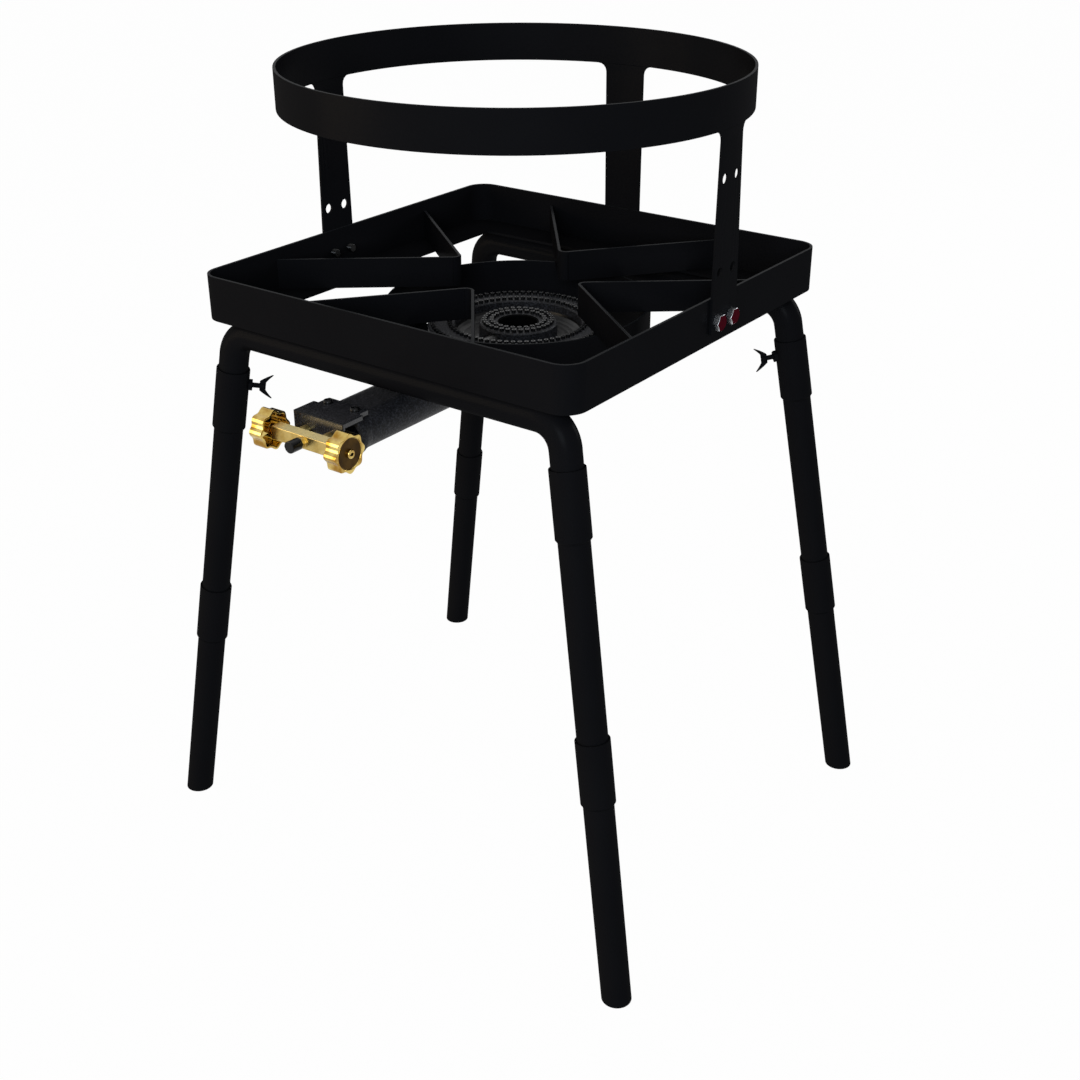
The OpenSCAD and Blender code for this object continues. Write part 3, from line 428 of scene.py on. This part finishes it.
# both ends of an edge at one height, and if a radius is given on that circle about Z
def edgeAt(piece, edge, height, radius=None):
    ends = [piece.data.vertices[i].co for i in edge.vertices]
    if radius is None:
        return all(abs(v.z - height) < sameSpot for v in ends)
    return all(abs(v.z - height) < sameSpot and abs(v.xy.length - radius) < sameSpot for v in ends)


# pulls the selected face on by a step, then narrows or widens it about the axis
def pull(step, share, height):
    bpy.ops.mesh.extrude_region_move(TRANSFORM_OT_translate={"value": (0, 0, step)})
    bpy.ops.transform.resize(value=(share, share, 1), center_override=(0, 0, height))


# draws the selected points in towards the axis
def drawIn(share):
    bpy.ops.transform.resize(value=(share, share, 1), center_override=(0, 0, 0))


def roundEdges(piece, width, segments, angle):
    onlyThis(piece)
    bpy.ops.object.mode_set(mode="EDIT")
    bpy.ops.mesh.select_all(action="SELECT")
    bpy.ops.mesh.remove_doubles(threshold=weldGap)
    bpy.ops.mesh.normals_make_consistent(inside=False)
    bpy.ops.object.mode_set(mode="OBJECT")
    bevel = piece.modifiers.new("edge", "BEVEL")
    bevel.width = width / 1000
    bevel.segments = segments
    bevel.limit_method = "ANGLE"
    bevel.angle_limit = math.radians(angle)
    bevel.use_clamp_overlap = False
    bpy.ops.object.modifier_apply(modifier="edge")
    smoothShade(piece, angle=35)


# puts a piece, drawn about the origin, into its place in the mesh itself
def settle(piece, matrix):
    onlyThis(piece)
    piece.matrix_world = matrix
    bpy.ops.object.transform_apply(location=True, rotation=True, scale=True)


def joined(pieces, name):
    bpy.ops.object.select_all(action="DESELECT")
    for piece in pieces:
        piece.select_set(True)
    bpy.context.view_layer.objects.active = pieces[0]
    bpy.ops.object.join()
    pieces[0].name = name
    return pieces[0]


def copied(piece):
    twin = piece.copy()
    twin.data = piece.data.copy()
    bpy.context.scene.collection.objects.link(twin)
    return twin


# the valve's middle, and a frame there that looks out along the spindle of one side
valve = {"at": (0, -279.5, -79.4)}


def spindleFrame(side, out):
    turn = Matrix.Rotation(side * math.pi / 2, 4, "Y")
    x, y, z = valve["at"]
    return Matrix.Translation(place(x + side * out, y, z)) @ turn


# knob: lobed brass cup, open towards the bar, with a disc sunk in its face, painted dark brown as a
# reflection
knob = {
    "radius": 17, "lobes": 8, "lobePoints": 12, "dip": 2.2, "lobedFrom": 16, "depth": 13, "wall": 2,
    "disc": 3, "discFacing": 0.95, "discEdge": 0.1, "face": 13, "sunk": 0.6, "hub": 4.5, "hubPoints": 40,
    "hubFrom": 4, "hubInto": 0.5, "start": 34, "edge": 0.6,
}


# how many points a spot lies from the crest of its lobe
def lobeStep(spot):
    points = knob["lobePoints"]
    step = round(math.atan2(spot.y, spot.x) / math.tau * knob["lobes"] * points) % points
    return min(step, points - step)


def makeKnob():
    bpy.ops.object.select_all(action="DESELECT")
    count = knob["lobes"] * knob["lobePoints"]
    deep = knob["depth"] / 1000
    top = deep / 2
    inner = knob["face"] / 1000
    lobed = knob["lobedFrom"] / 1000
    sunk = knob["sunk"] / 1000
    bpy.ops.mesh.primitive_cylinder_add(vertices=count, radius=knob["radius"] / 1000, depth=deep)
    piece = bpy.context.object
    pick(piece, "FACE", lambda f: f.normal.z > facing)
    bpy.ops.mesh.delete(type="ONLY_FACE")
    bpy.ops.mesh.primitive_circle_add(vertices=count, radius=inner, location=(0, 0, top))
    pick(piece, "EDGE", lambda e: edgeAt(piece, e, top))
    bpy.ops.mesh.bridge_edge_loops()
    pick(piece, "EDGE", lambda e: edgeAt(piece, e, top, inner))
    bpy.ops.mesh.extrude_region_move(TRANSFORM_OT_translate={"value": (0, 0, -sunk)})
    bpy.ops.mesh.edge_face_add()
    for step in range(1, knob["lobePoints"] // 2 + 1):  # draws the rim in between the lobes
        wave = (1 - math.cos(math.tau * step / knob["lobePoints"])) / 2
        pick(piece, "VERT", lambda v: v.co.xy.length > lobed and lobeStep(v.co) == step)
        drawIn(1 - knob["dip"] / knob["radius"] * wave)
    pick(piece, "FACE", lambda f: f.normal.z < -facing and f.center.z < -top / 2)
    bpy.ops.mesh.inset(thickness=knob["wall"] / 1000)
    hollow = (knob["depth"] - knob["disc"]) / 1000
    bpy.ops.mesh.extrude_region_move(TRANSFORM_OT_translate={"value": (0, 0, hollow)})
    hubLow = knob["hubFrom"] / 1000 - top
    hubHigh = top - (knob["disc"] - knob["hubInto"]) / 1000
    bpy.ops.mesh.primitive_cylinder_add(
        vertices=knob["hubPoints"], radius=knob["hub"] / 1000, depth=hubHigh - hubLow,
        location=(0, 0, (hubLow + hubHigh) / 2))
    bpy.ops.object.mode_set(mode="OBJECT")
    roundEdges(piece, knob["edge"], segments=3, angle=40)
    dress(piece, brass, darkReflectionBrass)
    # the sunk disc takes the dark brown brass: a painted dark reflection
    for face in piece.data.polygons:
        onDisc = abs(face.center.z - (top - sunk)) < knob["discEdge"] / 1000
        if face.normal.z > knob["discFacing"] and onDisc:
            face.material_index = 1
    return piece


# how many points a spot lies from the middle of its flat, on a hexagon drawn with so many points
def hexStep(spot, points):
    side = points // 6
    step = round(math.atan2(spot.y, spot.x) / math.tau * points) % side
    return min(step, side - step)


# how far in a point of a round has to come to lie on the hexagon inside it
def hexShare(step, points):
    return math.cos(math.radians(30)) / math.cos(math.tau * step / points)


# screws in the knobs and in the mouth cover: round heads with a six-sided socket
knobScrew = {"radius": 3.8, "height": 2.4, "dome": 1.1, "socket": 1.8, "deep": 1.3, "edge": 0.12}
coverScrew = {
    "radius": 4.25, "height": 2.6, "dome": 1.8, "socket": 1.7, "deep": 1.2, "edge": 0.12,
    "at": (14.7, -237.6, -64.8),
}


# drawn with its seat at the origin
def makeSocketHead(screw):
    bpy.ops.object.select_all(action="DESELECT")
    points = 36
    height = screw["height"] / 1000
    socket = screw["socket"] / 1000
    bpy.ops.mesh.primitive_cylinder_add(
        vertices=points, radius=screw["radius"] / 1000, depth=height, location=(0, 0, height / 2))
    piece = bpy.context.object
    bpy.ops.object.transform_apply(location=True)
    pick(piece, "EDGE", lambda e: edgeAt(piece, e, height))
    bpy.ops.mesh.bevel(offset=screw["dome"] / 1000, segments=6)
    pick(piece, "FACE", lambda f: f.normal.z > facing and f.center.xy.length < sameSpot)
    bpy.ops.mesh.delete(type="ONLY_FACE")
    bpy.ops.mesh.primitive_circle_add(vertices=points, radius=socket, location=(0, 0, height))
    pick(piece, "EDGE", lambda e: edgeAt(piece, e, height))
    bpy.ops.mesh.bridge_edge_loops()
    for step in range(points // 12 + 1):  # squares the round socket up to a hexagon
        pick(piece, "VERT", lambda v: hexStep(v.co, points) == step
             and abs(v.co.xy.length - socket) < sameSpot)
        drawIn(hexShare(step, points))
    pick(piece, "EDGE", lambda e: edgeAt(piece, e, height) and all(
        piece.data.vertices[i].co.xy.length < socket + sameSpot for i in e.vertices))
    bpy.ops.mesh.extrude_region_move(TRANSFORM_OT_translate={"value": (0, 0, -screw["deep"] / 1000)})
    bpy.ops.mesh.edge_face_add()
    bpy.ops.object.mode_set(mode="OBJECT")
    roundEdges(piece, screw["edge"], segments=2, angle=50)
    return piece


# hexagon bolt: chamfered head with its washer face at the origin, ribbed thread below
bolt = {
    "flats": 13, "head": 5.5, "points": 48, "cap": 6.3, "slope": 0.5, "rim": 0.2, "sunk": 0.1, "edge": 0.15,
    "thread": 4, "root": 3.5, "pitch": 1.25, "shank": 10, "threadPoints": 24, "shankFrom": 0.2,
    "lacquerFacing": 0.75,
}


def makeBolt():
    bpy.ops.object.select_all(action="DESELECT")
    points = bolt["points"]
    head = bolt["head"] / 1000
    cap = bolt["cap"] / 1000
    corner = bolt["flats"] / 2 / math.cos(math.radians(30)) / 1000
    bpy.ops.mesh.primitive_cylinder_add(vertices=points, radius=corner, depth=head, location=(0, 0, head / 2))
    piece = bpy.context.object
    bpy.ops.object.transform_apply(location=True)
    for step in range(points // 12 + 1):  # squares the head up to a hexagon and slopes its corners
        share = hexShare(step, points)
        pick(piece, "VERT", lambda v: hexStep(v.co, points) == step)
        drawIn(share)
        drop = max(0, corner * share - cap) * bolt["slope"]
        pick(piece, "VERT", lambda v: hexStep(v.co, points) == step and v.co.z > head / 2)
        bpy.ops.transform.translate(value=(0, 0, -drop))
    pick(piece, "FACE", lambda f: f.normal.z > facing)
    bpy.ops.mesh.delete(type="ONLY_FACE")
    bpy.ops.mesh.primitive_circle_add(vertices=points, radius=cap, location=(0, 0, head))
    pick(piece, "EDGE", lambda e: all(piece.data.vertices[i].co.z > head / 2 for i in e.vertices))
    bpy.ops.mesh.bridge_edge_loops()
    pick(piece, "EDGE", lambda e: edgeAt(piece, e, head, cap))
    bpy.ops.mesh.edge_face_add()
    bpy.ops.mesh.inset(thickness=bolt["rim"] / 1000, depth=-bolt["sunk"] / 1000)
    bpy.ops.mesh.select_all(action="DESELECT")
    bpy.ops.mesh.primitive_circle_add(
        vertices=bolt["threadPoints"], radius=bolt["root"] / 1000, fill_type="NGON", location=(0, 0, 0))
    share = bolt["thread"] / bolt["root"]
    half = bolt["pitch"] / 2000
    height = 0
    for turn in range(int(bolt["shank"] / bolt["pitch"])):
        height -= half
        pull(-half, share, height)
        height -= half
        pull(-half, 1 / share, height)
    bpy.ops.object.mode_set(mode="OBJECT")
    roundEdges(piece, bolt["edge"], segments=2, angle=35)
    dress(piece, zinc, lacquer, blackSteel)
    for face in piece.data.polygons:
        if face.normal.z > bolt["lacquerFacing"] and face.center.z > head / 2:
            face.material_index = 1
        elif face.center.z < -bolt["shankFrom"] / 1000:
            face.material_index = 2
    return piece


# legs: frame at the end of a bend with -Z down the leg, and of the wing bolt in its socket
stand = {"cross": (180.7, -53.8), "lean": 4, "bendEnd": (182.343, -21.709), "splay": 9.5, "wingDown": 29.3}


def legFrame(sideX, sideY):
    crossY, crossZ = stand["cross"]
    bendX, bendZ = stand["bendEnd"]
    tilt = Matrix.Rotation(math.radians(sideY * stand["lean"]), 4, "X")
    splay = Matrix.Rotation(math.radians(-sideX * stand["splay"]), 4, "Y")
    bendAt = Matrix.Translation(Vector((sideX * bendX, 0, bendZ)) / 1000)
    return Matrix.Translation(place(0, sideY * crossY, crossZ)) @ tilt @ bendAt @ splay


def wingFrame(sideX, sideY):
    down = Matrix.Translation((0, 0, -stand["wingDown"] / 1000))
    inward = Matrix.Rotation(math.atan2(-sideY, -sideX), 4, "Z")
    return legFrame(sideX, sideY) @ down @ inward @ Matrix.Rotation(math.pi / 2, 4, "Y")


# wing bolt: ribbed shank, waisted hub and two thin blades drawn out to points
wingBolt = {
    "from": 13.7, "hub": 24.1, "thread": 2.5, "root": 2.15, "pitch": 1.0, "points": 24, "edge": 0.12,
    # share of the hub's length, and how far it swells
    "hubLen": 5.5, "hubSteps": ((0.25, 1.25), (0.35, 1.25), (0.3, 1.12), (0.1, 0.9)),
    "blade": 4, "bladeFrom": 2.2, "bladeUp": 3.2, "bladeShape": (1, 0.85, 1.4), "bladeEdge": 0.35,
    # move outwards and up, then how much thinner and narrower the blade gets
    "bladeSteps": (((2.2, 0, 2.2), 0.8, 0.8), ((2.5, 0, 2.9), 0.75, 0.7), ((2.6, 0, 3.4), 0.6, 0.42)),
}


def makeWingShank():
    bpy.ops.object.select_all(action="DESELECT")
    height = wingBolt["from"] / 1000
    hub = wingBolt["hub"] / 1000
    bpy.ops.mesh.primitive_circle_add(
        vertices=wingBolt["points"], radius=wingBolt["root"] / 1000, fill_type="NGON",
        location=(0, 0, height))
    piece = bpy.context.object
    bpy.ops.object.transform_apply(location=True)
    pick(piece, "FACE", lambda f: True)
    share = wingBolt["thread"] / wingBolt["root"]
    half = wingBolt["pitch"] / 2000
    while height < hub - 2 * half:
        height += half
        pull(half, share, height)
        height += half
        pull(half, 1 / share, height)
    length = wingBolt["hubLen"] / 1000
    for part, wide in wingBolt["hubSteps"]:  # hub swells, then rounds off
        height += part * length
        pull(part * length, wide, height)
    bpy.ops.object.mode_set(mode="OBJECT")
    roundEdges(piece, wingBolt["edge"], segments=2, angle=40)
    return piece


def makeWingBlade():
    bpy.ops.object.select_all(action="DESELECT")
    size = wingBolt["blade"] / 1000
    out = wingBolt["bladeFrom"] / 1000
    up = (wingBolt["hub"] + wingBolt["bladeUp"]) / 1000
    bpy.ops.mesh.primitive_cube_add(size=size, location=(out, 0, up))
    blade = bpy.context.object
    bpy.ops.object.transform_apply(location=True)
    spot = Vector((out + size / 2, 0, up))
    pick(blade, "FACE", lambda f: True)
    bpy.ops.transform.resize(value=wingBolt["bladeShape"], center_override=spot)
    pick(blade, "FACE", lambda f: f.normal.x > facing)
    for move, thin, narrow in wingBolt["bladeSteps"]:
        spot += Vector(move) / 1000
        bpy.ops.mesh.extrude_region_move(TRANSFORM_OT_translate={"value": Vector(move) / 1000})
        bpy.ops.transform.resize(value=(1, thin, narrow), center_override=spot)
    bpy.ops.object.mode_set(mode="OBJECT")
    roundEdges(blade, wingBolt["bladeEdge"], segments=3, angle=30)
    return blade


def makeWingBolt():
    shank = makeWingShank()
    blade = makeWingBlade()
    other = copied(blade)
    settle(other, Matrix.Rotation(math.pi, 4, "Z"))
    piece = joined([shank, blade, other], "wingBolt")
    dress(piece, powderCoat)
    return piece


def fitValve():
    first = makeKnob()
    second = copied(first)
    for piece, side, name in ((first, -1, "left"), (second, 1, "right")):
        settle(piece, spindleFrame(side, knob["start"] + knob["depth"] / 2))
        piece.name = name + "Knob"
        standFor(piece, "knob_" + name)
    print("knobs made")
    head = makeSocketHead(knobScrew)
    dress(head, brass)
    other = copied(head)
    for piece, side, name in ((head, -1, "left"), (other, 1, "right")):
        settle(piece, spindleFrame(side, knob["start"] + knob["depth"] - knob["sunk"]))
        piece.name = name + "KnobScrew"
        standFor(piece, "knob_screw_" + name)
    head = makeSocketHead(coverScrew)
    dress(head, blackSteel)
    other = copied(head)
    x, y, z = coverScrew["at"]
    for piece, side in ((head, -1), (other, 1)):
        settle(piece, Matrix.Translation(place(side * x, y, z)))
    standFor(joined([head, other], "coverScrews"), "cover_screws")
    print("screw heads made")


# where the bolts sit: two on each side upright, and one at each end of the strap under the burner
boltAt = {"ring": (202.5, 20, -21.5), "ringApart": 22, "strap": (46, 0, -91)}


def fitBolts():
    model = makeBolt()
    bolts = []
    x, y, z = boltAt["ring"]
    outward = Matrix.Rotation(math.pi / 2, 4, "Y")
    for turn in (0, 180):
        around = Matrix.Translation(place(0, 0, 0)) @ Matrix.Rotation(math.radians(turn), 4, "Z")
        for side in (-1, 1):
            twin = copied(model)
            seat = Matrix.Translation(Vector((x, y + side * boltAt["ringApart"] / 2, z)) / 1000)
            settle(twin, around @ seat @ outward)
            bolts.append(twin)
    standFor(joined(bolts, "ringBolts"), "ring_bolts")
    bolts = []
    x, y, z = boltAt["strap"]
    for side in (-1, 1):
        twin = copied(model)
        settle(twin, Matrix.Translation(place(side * x, y, z)) @ Matrix.Rotation(math.pi, 4, "X"))
        bolts.append(twin)
    piece = joined(bolts, "strapBolts")
    for face in piece.data.polygons:  # no lacquer under the burner
        face.material_index = 0
    standFor(piece, "strap_bolts")
    bpy.data.objects.remove(model)
    print("bolts made")


def fitWingBolts():
    model = makeWingBolt()
    for corner, (sideX, sideY) in corners.items():
        twin = copied(model)
        settle(twin, wingFrame(sideX, sideY))
        twin.name = corner + "WingBolt"
        standFor(twin, "wing_bolt_" + corner)
    bpy.data.objects.remove(model)
    print("wing bolts made")


fitValve()
fitBolts()
fitWingBolts()

# white floor and white surround: the camera and shiny metal see plain white, the floor keeps a soft shadow
studio = {
    "floorSize": 40, "floorTone": "#B4B4B4", "floorGlow": 0.985, "worldLight": 0.16, "aim": (0, 0, 0.45),
}
lamps = {  # place, power, width and tint
    "coolLamp": ((1.5, -2.5, 1.5), 56, 1.3, (0.8, 0.9, 1.0)),
    "warmLamp": ((-2.1, -2.1, 0.9), 44, 1.8, (1.0, 0.79, 0.53)),
    "topLamp": ((-0.3, 0.5, 2.7), 8, 1.6, (1.0, 1.0, 1.0)),
    "backLamp": ((0.9, 2.8, 1.2), 36, 1.4, (0.95, 0.97, 1.0)),
}


# 1 for what the camera sees straight on, in shiny metal or through clear pieces, 0 for the light that falls
def seesWhite(tree):
    path = addNode(tree, "LightPath", {})
    seen = path.outputs["Is Camera Ray"]
    for kind in ("Is Glossy Ray", "Is Transmission Ray"):
        seen = addNode(tree, "Math", {0: seen, 1: path.outputs[kind]}, operation="MAXIMUM").outputs["Value"]
    return seen


# white paper sweep: dead matt, white to the eye whatever the lamps give it
def addFloor():
    bpy.ops.mesh.primitive_plane_add(size=studio["floorSize"], location=(0, 0, 0))
    floor = bpy.context.object
    floor.name = "studioFloor"
    material, tree, shader = newMaterial("matteWhitePaper", Roughness=0.9, Specular_IOR_Level=0.1)[:3]
    shader.inputs["Base Color"].default_value = linear(studio["floorTone"])
    share = addNode(tree, "Math", {0: seesWhite(tree), 1: studio["floorGlow"]}, operation="MULTIPLY")
    glow = addNode(tree, "Emission", {"Color": (1, 1, 1, 1), "Strength": 1.0})
    both = addNode(
        tree, "MixShader",
        {0: share.outputs["Value"], 1: shader.outputs["BSDF"], 2: glow.outputs["Emission"]})
    tree.links.new(both.outputs["Shader"], tree.nodes["Material Output"].inputs["Surface"])
    dress(floor, material)


def addSurround():
    world = bpy.data.worlds.new("studioWhite")
    bpy.context.scene.world = world
    world.use_nodes = True
    tree = world.node_tree
    level = addNode(
        tree, "MapRange", {"Value": seesWhite(tree), "To Min": studio["worldLight"], "To Max": 1.0})
    sky = tree.nodes["Background"]
    sky.inputs["Color"].default_value = (1, 1, 1, 1)
    tree.links.new(level.outputs["Result"], sky.inputs["Strength"])


def addLamps():
    for name, (lampAt, power, size, tint) in lamps.items():
        bpy.ops.object.light_add(type="AREA", location=lampAt)
        lamp = bpy.context.object
        lamp.name = name
        lamp.data.energy = power
        lamp.data.color = tint
        lamp.data.size = size
        aim = Vector(studio["aim"]) - Vector(lampAt)
        lamp.rotation_euler = aim.to_track_quat("-Z", "Y").to_euler()


addFloor()
addSurround()
addLamps()
print("studio set")
